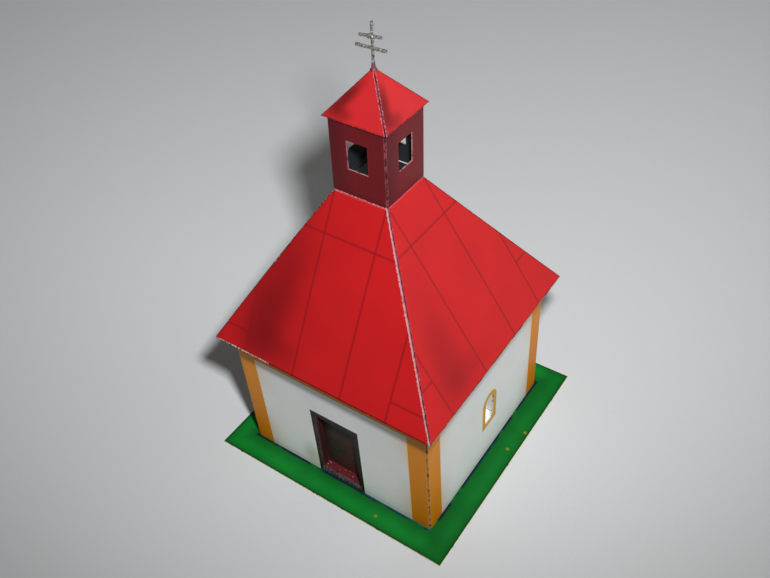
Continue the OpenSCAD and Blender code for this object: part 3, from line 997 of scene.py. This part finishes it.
def foilTree(foil):
    # geometry nodes: a wire from Start to End, wrapped in a creased skin
    tree = bpy.data.node_groups.new("foilWrap", "GeometryNodeTree")
    sockets = {}
    for label, kind in (("Start", "NodeSocketVector"), ("End", "NodeSocketVector"),
                        ("Radius", "NodeSocketFloat"), ("Crease", "NodeSocketFloat"),
                        ("Crease Size", "NodeSocketFloat"), ("Bend", "NodeSocketFloat"),
                        ("Knot", "NodeSocketFloat"), ("Spacing", "NodeSocketFloat"),
                        ("Sides", "NodeSocketInt"), ("Seed", "NodeSocketFloat")):
        sockets[label] = tree.interface.new_socket(name=label, in_out="INPUT", socket_type=kind)
    tree.interface.new_socket(name="Geometry", in_out="OUTPUT", socket_type="NodeSocketGeometry")
    given = addNode(tree, "NodeGroupInput").node.outputs
    line = addNode(tree, "GeometryNodeCurvePrimitiveLine", {"Start": given["Start"],
                                                           "End": given["End"]})
    line = addNode(tree, "GeometryNodeResampleCurve", {"Curve": line, "Length": given["Spacing"]},
                   mode="LENGTH")
    size = addNode(tree, mathKind, {0: 1.0, 1: given["Crease Size"]}, operation="DIVIDE")
    here = addNode(tree, "GeometryNodeInputPosition")
    slow = addNode(tree, mathKind, {0: size, 1: 0.25}, operation="MULTIPLY")
    wave = addNode(tree, noiseKind, {"Vector": here, "W": given["Seed"], "Scale": slow}, out="Color",
                   noise_dimensions="4D")
    wave = addNode(tree, vectorKind, {0: wave, 1: (0.5, 0.5, 0.5)}, operation="SUBTRACT")
    wave = addNode(tree, vectorKind, {0: wave, "Scale": given["Bend"]}, operation="SCALE")
    line = addNode(tree, "GeometryNodeSetPosition", {"Geometry": line, "Offset": wave})
    ring = addNode(tree, "GeometryNodeCurvePrimitiveCircle", {"Resolution": given["Sides"],
                                                             "Radius": given["Radius"]})
    along = addNode(tree, "GeometryNodeSplineParameter", out="Factor")
    away = distanceFrom(tree, along, 0.5)
    swell = addNode(tree, rangeKind, {"Value": away, "From Min": 0.04, "From Max": 0.2,
                                      "To Min": given["Knot"], "To Max": 1.0}, **smoothly)
    skin = addNode(tree, "GeometryNodeCurveToMesh", {"Curve": line, "Profile Curve": ring,
                                                     "Scale": swell, "Fill Caps": True})
    lump = addNode(tree, noiseKind, {"Vector": here, "W": given["Seed"], "Scale": size, "Detail": 2.0,
                                     "Roughness": 0.6}, noise_dimensions="4D")
    lump = addNode(tree, rangeKind, {"Value": lump, "From Min": 0.3, "From Max": 0.7, "To Min": -0.7,
                                     "To Max": 0.3})
    lump = addNode(tree, mathKind, {0: lump, 1: given["Crease"]}, operation="MULTIPLY")
    normal = addNode(tree, "GeometryNodeInputNormal")
    push = addNode(tree, vectorKind, {0: normal, "Scale": lump}, operation="SCALE")
    skin = addNode(tree, "GeometryNodeSetPosition", {"Geometry": skin, "Offset": push})
    skin = addNode(tree, "GeometryNodeSetShadeSmooth", {"Geometry": skin, "Shade Smooth": False})
    skin = addNode(tree, "GeometryNodeRealizeInstances", {"Geometry": skin})
    skin = addNode(tree, "GeometryNodeSetMaterial", {"Geometry": skin, "Material": foil})
    addNode(tree, "NodeGroupOutput", {"Geometry": skin})
    return tree, {label: socket.identifier for label, socket in sockets.items()}


def bakeTree(name, tree, values, nodes):
    # runs a geometry tree on an empty mesh and keeps the result as a plain mesh
    seedObject = addObject(name + "Source", bpy.data.meshes.new(name + "Source"))
    modifier = seedObject.modifiers.new("grow", "NODES")
    modifier.node_group = tree
    for identifier, value in values.items():
        modifier[identifier] = value
    bpy.context.view_layer.update()
    seen = seedObject.evaluated_get(bpy.context.evaluated_depsgraph_get())
    mesh = bpy.data.meshes.new_from_object(seen)
    bpy.data.objects.remove(seedObject)
    mesh.name = name
    for vertex in mesh.vertices:
        vertex.co = settled(vertex.co / mm) * mm
    addPiece(name, mesh, nodes)


wrapTree, wrapInputs = foilTree(foilMaterial())
rods = (
    # piece, node, direction, swelling in the middle, and how far it sits up and out of level
    ("crossPostFoil", "cross_post", "Z", 1.0, 0.0, 0.0),
    ("crossLowerBarFoil", "cross_lower_bar", "X", 1.0, 0.3, 0.08),
    ("crossUpperBarFoil", "cross_upper_bar", "X", 1.5, 0.3, 0.24),
)
for order, (name, node, axis, knot, lift, tip) in enumerate(rods):
    low, high = boxOf(node)
    middle, half = (low + high) / 2, (high - low) / 2
    reach = Vector((0, 0, half.z)) if axis == "Z" else Vector((half.x, 0, tip))
    lifted = middle + Vector((0, 0, lift))
    bakeTree(name, wrapTree, {
        wrapInputs["Start"]: (lifted - reach) * mm, wrapInputs["End"]: (lifted + reach) * mm,
        wrapInputs["Radius"]: half.y * crossSet["postWrap" if axis == "Z" else "barWrap"] * mm,
        wrapInputs["Crease"]: crossSet["crease"] * mm,
        wrapInputs["Crease Size"]: crossSet["creaseSize"] * mm,
        wrapInputs["Bend"]: crossSet["bend"] * mm, wrapInputs["Knot"]: knot,
        wrapInputs["Spacing"]: crossSet["spacing"] * mm,
        wrapInputs["Sides"]: crossSet["sides"], wrapInputs["Seed"]: float(crossSet["seed"] + order),
    }, [node])


def footFinish():
    # The foil's foot, smeared with the roof's red ink where it meets the card.
    material, tree, place = newMaterial("redInkedFoil")
    height = addNode(tree, "ShaderNodeSeparateXYZ", {0: place}).node.outputs[2]
    low, high = boxOf("cross_foot")
    smear = addNode(tree, noiseKind, lumps(place, 0.4, 3.0))
    reach = addNode(tree, mathKind, {0: smear, 1: 1.2 * mm, 2: height}, operation="MULTIPLY_ADD")
    colour = inkOver(tree, linearColour("8c2a30"), "75686e", reach,
                     ((low.z + 0.5) * mm, (high.z + 1.0) * mm))
    closeMaterial(tree, colour, 0.55, smear, 0.03 * mm, metallic=0.3)
    return material


settledCopy("crossFootFoil", "cross_foot", footFinish())
print("cross made")


# floor, light and camera
studioSet = {
    "floor": "caccce",
    "floorHalf": 1.5,
    "world": "e6e4de",
    "worldStrength": 0.13,
    "lampPower": 44.6,
    "lampAim": (-0.8, 1.2, 0.0),
    "lampSpread": 120,
    "lampSize": 0.014,
    "windowPower": 1.15,
    "windowSize": 0.6,
    "window": (5.4, 3.4, 2.4),        # a soft light from the side, in the same shares
    "lamp": (0.721, -0.736, 1.611),   # the lamp's place, in shares of the object's height
    "target": (-0.031, 0.0235, 0.367),
    "distance": 1.835,
    "azimuth": 37.7,
    "elevation": 42.9,
    "roll": -4.87,
    "lens": 39.4,
    "sensor": 36.0,
}
tall = (Vector(cadBox[1]) - Vector(cadBox[0])).z


def buildStudio():
    st = studioSet
    half = st["floorHalf"]
    mesh = bpy.data.meshes.new("paperFloor")
    mesh.from_pydata([(-half, -half, 0), (half, -half, 0), (half, half, 0), (-half, half, 0)], [],
                     [(0, 1, 2, 3)])
    addObject("paperFloor", mesh)
    material, tree, place = newMaterial("paleDrawingPaper")
    grain = addNode(tree, noiseKind, lumps(place, 0.8, 3.0))
    colour = mottled(tree, linearColour(st["floor"])[:3], grain, (0.0, 1.0), (0.97, 1.03))
    closeMaterial(tree, colour, 0.85, grain, 0.01 * mm, specular=0.2)
    mesh.materials.append(material)
    world = bpy.data.worlds.new("softRoom")
    world.use_nodes = True
    sky = world.node_tree.nodes["Background"]
    sky.inputs["Color"].default_value = linearColour(st["world"])
    sky.inputs["Strength"].default_value = st["worldStrength"]
    scene.world = world
    lampData = bpy.data.lights.new("softLamp", "SPOT")
    lampData.energy = st["lampPower"]
    lampData.shadow_soft_size = st["lampSize"] / 2
    lampData.spot_size = math.radians(st["lampSpread"])
    lampData.spot_blend = 1.0
    # an even falloff stands for the reach of a lamp that is further away than its shadows say
    lampData.use_nodes = True
    glow = lampData.node_tree.nodes["Emission"]
    even = addNode(lampData.node_tree, "ShaderNodeLightFalloff", {"Strength": 1.0}, out="Constant")
    lampData.node_tree.links.new(even, glow.inputs["Strength"])
    lamp = addObject("softLamp", lampData)
    lamp.location = Vector(st["lamp"]) * tall
    aim = Vector(st["lampAim"]) * tall - lamp.location
    lamp.rotation_euler = aim.to_track_quat("-Z", "Y").to_euler()
    windowData = bpy.data.lights.new("sideWindow", "AREA")
    windowData.energy = st["windowPower"]
    windowData.size = st["windowSize"]
    window = addObject("sideWindow", windowData)
    window.location = Vector(st["window"]) * tall
    window.rotation_euler = (-window.location).to_track_quat("-Z", "Y").to_euler()
    azimuth, elevation = math.radians(st["azimuth"]), math.radians(st["elevation"])
    target = Vector(st["target"]) * tall
    away = Vector((math.sin(azimuth) * math.cos(elevation), -math.cos(azimuth) * math.cos(elevation),
                   math.sin(elevation)))
    cameraData = bpy.data.cameras.new("camera")
    cameraData.lens = st["lens"]
    cameraData.sensor_width = st["sensor"]
    cameraData.clip_start = 0.005
    camera = addObject("camera", cameraData)
    camera.location = target + away * st["distance"] * tall
    facing = (-away).to_track_quat("-Z", "Y") @ Quaternion((0, 0, 1), math.radians(st["roll"]))
    camera.rotation_euler = facing.to_euler()
    scene.camera = camera
    scene.view_settings.view_transform = "Standard"


buildStudio()
print("studio made")
